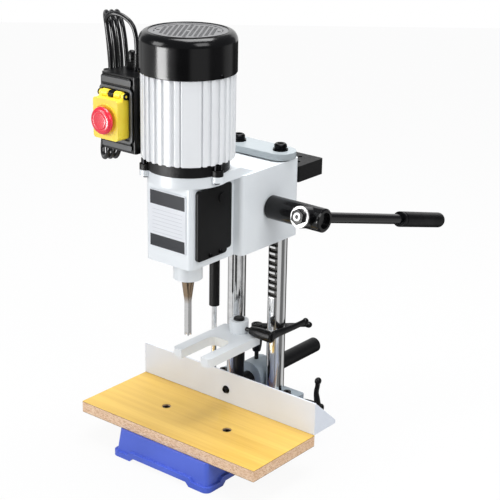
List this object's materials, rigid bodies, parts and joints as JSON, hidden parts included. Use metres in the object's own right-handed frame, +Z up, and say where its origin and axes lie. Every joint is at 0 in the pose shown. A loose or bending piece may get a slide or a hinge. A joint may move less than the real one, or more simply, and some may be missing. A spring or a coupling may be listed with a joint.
{
  "type": "benchtop hollow-chisel mortiser",
  "caption": "Benchtop machine with a motor head on two columns, a rack feed with a long lever, a small table, a fence and a hold-down fork.",
  "frame": {"origin": "on the bench, at the centre of the four bench bolt holes under the feet", "axes": "+Z up, +X to the operator's right, -Y towards the operator"},
  "size_m": [0.3816, 0.5763, 0.7004],
  "materials": {
    "blue_paint": "gloss royal blue enamel on cast iron",
    "board": "satin printed wood grain on board",
    "black_steel": "black oxide",
    "chromed": "polished",
    "grey_iron": "machined and grey painted",
    "pale_paint": "satin pale grey paint",
    "motor_silver": "silver paint on ribbed casting",
    "gloss_black": "gloss black",
    "matt_black": "matt black, fine texture",
    "black_plastic": "satin",
    "grip_plastic": "satin",
    "label_film": "printed film with two dark bands, no words",
    "bronze": "sintered",
    "bright_steel": "ground",
    "core_steel": "laminated",
    "grey_plastic": "satin",
    "yellow_plastic": "gloss",
    "red_plastic": "gloss",
    "green_plastic": "gloss",
    "cord_black": "smooth sheath"
  },
  "bodies": {
    "base": {"base_casting": "blue_paint", "table_board": "board", "base_screws": "black_steel", "left_column": "chromed", "right_column": "chromed", "column_block": "grey_iron", "fence_bracket": "grey_iron", "tie_plate": "pale_paint", "tie_plate_bolts": "black_steel", "strut_foot": "black_steel", "strut_rod": "chromed"},
    "head": {"head_casting": "pale_paint", "column_bushes": "bronze", "label_plate": "label_film", "access_covers": "matt_black", "head_screws": "black_steel", "motor_flange": "matt_black", "motor_body": "motor_silver", "upper_end_shield": "grey_iron", "stator": "core_steel", "motor_bearings": "bright_steel", "fan_cover": "gloss_black", "switch_bracket": "matt_black", "switch_box": "black_plastic", "switch_plate": "grey_plastic", "cord_glands": "black_plastic", "chisel_bush": "bronze", "chisel_lock_screw": "black_steel", "hollow_chisel": "bright_steel", "tool_shelf": "matt_black", "strut_cylinder": "matt_black", "pinion_bushes": "bronze", "mains_cord": "cord_black", "cord_hank": "cord_black", "cord_tail": "cord_black", "cord_tie": "black_plastic", "plug": "cord_black"},
    "spindle": {"motor_shaft": "bright_steel", "rotor": "core_steel", "cooling_fan": "black_plastic", "drill_chuck": "bright_steel", "auger_bit": "bright_steel"},
    "feed_lever": {"pinion_shaft": "bright_steel", "pinion_gear": "bright_steel", "feed_hub": "gloss_black", "lever_bar": "gloss_black", "lever_nut": "bright_steel", "lever_grip": "grip_plastic"},
    "fence": {"fence_plate": "pale_paint", "fence_bar": "matt_black", "fence_screw": "black_steel", "holddown_post": "matt_black"},
    "fork": {"holddown_fork": "pale_paint"},
    "fork_clamp": {"holddown_lever": "matt_black"},
    "fence_clamp": {"fence_lever": "matt_black"},
    "column_clamp": {"column_lever": "matt_black"},
    "flip_cover": {"flip_cover": "yellow_plastic"},
    "mushroom": {"mushroom_button": "red_plastic"},
    "start": {"start_button": "green_plastic"},
    "stop": {"stop_button": "red_plastic"}
  },
  "joints": [
    {"name": "head_slide", "type": "slide", "parent": "base", "child": "head", "axis": [0, 0, 1], "range_m": [-0.12, 0], "stiffness_N_per_m": 300, "springref_m": 1},
    {"name": "spindle_spin", "type": "hinge", "parent": "head", "child": "spindle", "pos_m": [0, -0.068, 0.6], "axis": [0, 0, 1], "continuous": true},
    {"name": "feed_lever_turn", "type": "hinge", "parent": "head", "child": "feed_lever", "pos_m": [0.1, 0.0536, 0.4075], "axis": [1, 0, 0], "range_deg": [0, 191]},
    {"name": "fence_slide", "type": "slide", "parent": "base", "child": "fence", "axis": [0, 1, 0], "range_m": [-0.06, 0]},
    {"name": "fork_slide", "type": "slide", "parent": "fence", "child": "fork", "axis": [0, 0, 1], "range_m": [-0.046, 0]},
    {"name": "fork_clamp_turn", "type": "hinge", "parent": "fork", "child": "fork_clamp", "pos_m": [0.04, 0.057, 0.1885], "axis": [1, 0, 0], "range_deg": [-25, 25]},
    {"name": "fence_clamp_turn", "type": "hinge", "parent": "base", "child": "fence_clamp", "pos_m": [0, 0.104, 0.15], "axis": [0, 0, 1], "range_deg": [0, 75]},
    {"name": "column_clamp_turn", "type": "hinge", "parent": "base", "child": "column_clamp", "pos_m": [0.1, 0.112, 0.061], "axis": [1, 0, 0], "range_deg": [-60, 30]},
    {"name": "flip_cover_turn", "type": "hinge", "parent": "head", "child": "flip_cover", "pos_m": [-0.1085, -0.113, 0.586], "axis": [-1, 0, 0], "range_deg": [0, 110]},
    {"name": "mushroom_press", "type": "slide", "parent": "flip_cover", "child": "mushroom", "axis": [0, 1, 0], "range_m": [0, 0.004], "stiffness_N_per_m": 500, "springref_m": -0.002},
    {"name": "start_press", "type": "slide", "parent": "head", "child": "start", "axis": [0, 1, 0], "range_m": [0, 0.003], "stiffness_N_per_m": 400, "springref_m": -0.002},
    {"name": "stop_press", "type": "slide", "parent": "head", "child": "stop", "axis": [0, 1, 0], "range_m": [0, 0.004]}
  ],
  "couplings": [
    {"joint": "feed_lever_turn", "follows": "head_slide", "rad_per_m": -27.704},
    {"joint": "stop_press", "follows": "mushroom_press", "ratio": 1}
  ]
}
